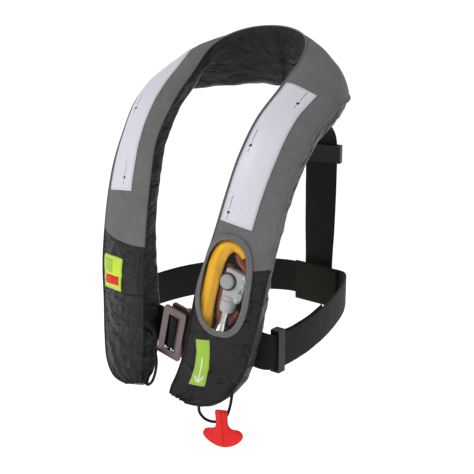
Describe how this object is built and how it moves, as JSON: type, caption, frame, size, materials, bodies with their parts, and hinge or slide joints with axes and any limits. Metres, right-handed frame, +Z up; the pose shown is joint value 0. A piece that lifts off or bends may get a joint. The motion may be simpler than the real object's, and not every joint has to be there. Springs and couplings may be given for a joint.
{
  "type": "inflatable life jacket",
  "caption": "Horseshoe inflatable life jacket with waist belt, back strap, steel buckle, inflator window, reflective tapes and pull handle.",
  "frame": {"origin": "middle of the collar's lining, where it rests against the back of the wearer's neck", "axes": "+Z up, the wearer faces -Y, the wearer's left is +X"},
  "size_m": [0.3134, 0.398, 0.5104],
  "materials": {
    "black_cloth": "matte woven nylon",
    "grey_cloth": "matte woven nylon",
    "olive_cloth": "matte woven nylon",
    "webbing": "ribbed polyester webbing",
    "reflective_tape": "retro-reflective film on cloth",
    "lime_label": "satin woven label",
    "red_print": "satin print",
    "bladder_cloth": "coated nylon with a slight sheen",
    "clear_film": "clear flexible film",
    "housing": "fine grain",
    "housing_dark": "fine grain",
    "green_indicator": "gloss",
    "stainless": "satin",
    "cylinder_steel": "zinc plated",
    "black_plastic": "fine grain",
    "red_plastic": "satin",
    "orange_plastic": "satin",
    "cord_braid": "braided"
  },
  "bodies": {
    "jacket": {"lining_tray": "black_cloth", "cover_black_left": "black_cloth", "cover_grey": "grey_cloth", "cover_black_right": "black_cloth", "window_film": "clear_film", "window_binding": "grey_cloth", "reflective_tape_left": "reflective_tape", "reflective_tape_right": "reflective_tape", "info_label": "lime_label", "info_label_block": "red_print", "pull_label": "lime_label", "bladder": "bladder_cloth", "inflator_body": "housing", "status_indicator": "green_indicator", "inflator_screw": "stainless", "oral_tube": "black_plastic", "waist_belt": "webbing", "belt_tail": "webbing", "back_strap": "webbing", "back_patch": "olive_cloth", "buckle_frame_rear": "stainless", "loop_cord": "cord_braid", "loop_tie": "cord_braid"},
    "front_frame": {"buckle_frame_front": "stainless"},
    "slider": {"belt_slider": "black_plastic"},
    "adjuster": {"back_adjuster": "black_plastic"},
    "handle": {"pull_handle": "red_plastic", "pull_cord": "cord_braid"},
    "lever": {"inflator_lever": "black_plastic"},
    "pin": {"firing_pin": "stainless"},
    "cap": {"inflator_cap": "housing_dark"},
    "cylinder": {"gas_cylinder": "cylinder_steel"},
    "oral_cap": {"oral_tube_cap": "orange_plastic"},
    "whistle_body": {"whistle": "orange_plastic"}
  },
  "joints": [
    {"name": "front_frame_swing", "type": "hinge", "parent": "jacket", "child": "front_frame", "pos_m": [-0.0054, -0.26, -0.326], "axis": [0.2182, 0, 0.9759], "range_deg": [-50, 0]},
    {"name": "slider_move", "type": "slide", "parent": "jacket", "child": "slider", "axis": [0, 1, 0], "range_m": [0, 0.03]},
    {"name": "adjuster_move", "type": "slide", "parent": "jacket", "child": "adjuster", "axis": [0, 0, -1], "range_m": [0, 0.06]},
    {"name": "handle_pull", "type": "slide", "parent": "jacket", "child": "handle", "axis": [0, 0, -1], "range_m": [0, 0.025], "deforming": ["pull_cord"]},
    {"name": "lever_turn", "type": "hinge", "parent": "jacket", "child": "lever", "pos_m": [0.1067, -0.2306, -0.2692], "axis": [0.219, -0.9549, 0.2003], "range_deg": [-70.1, 0]},
    {"name": "pin_fire", "type": "slide", "parent": "jacket", "child": "pin", "axis": [-0.1225, -0.2306, -0.9653], "range_m": [0, 0.0023]},
    {"name": "cap_turn", "type": "hinge", "parent": "jacket", "child": "cap", "pos_m": [0.0852, -0.2368, -0.2453], "axis": [0.219, -0.9549, 0.2003], "range_deg": [0, 90]},
    {"name": "cylinder_turn", "type": "hinge", "parent": "jacket", "child": "cylinder", "pos_m": [0.0771, -0.2506, -0.3373], "axis": [0.1225, 0.2306, 0.9653], "continuous": true},
    {"name": "oral_cap_pull", "type": "slide", "parent": "jacket", "child": "oral_cap", "axis": [0.15, -0.1979, -0.9687], "range_m": [0, 0.01]},
    {"name": "whistle_swing", "type": "hinge", "parent": "jacket", "child": "whistle_body", "pos_m": [-0.0814, -0.2477, -0.3472], "axis": [-0.2275, -0.9406, 0.2519], "range_deg": [0, 12]}
  ],
  "couplings": [
    {"joint": "lever_turn", "follows": "handle_pull", "rad_per_m": -48.86},
    {"joint": "pin_fire", "follows": "handle_pull", "ratio": 0.09}
  ]
}
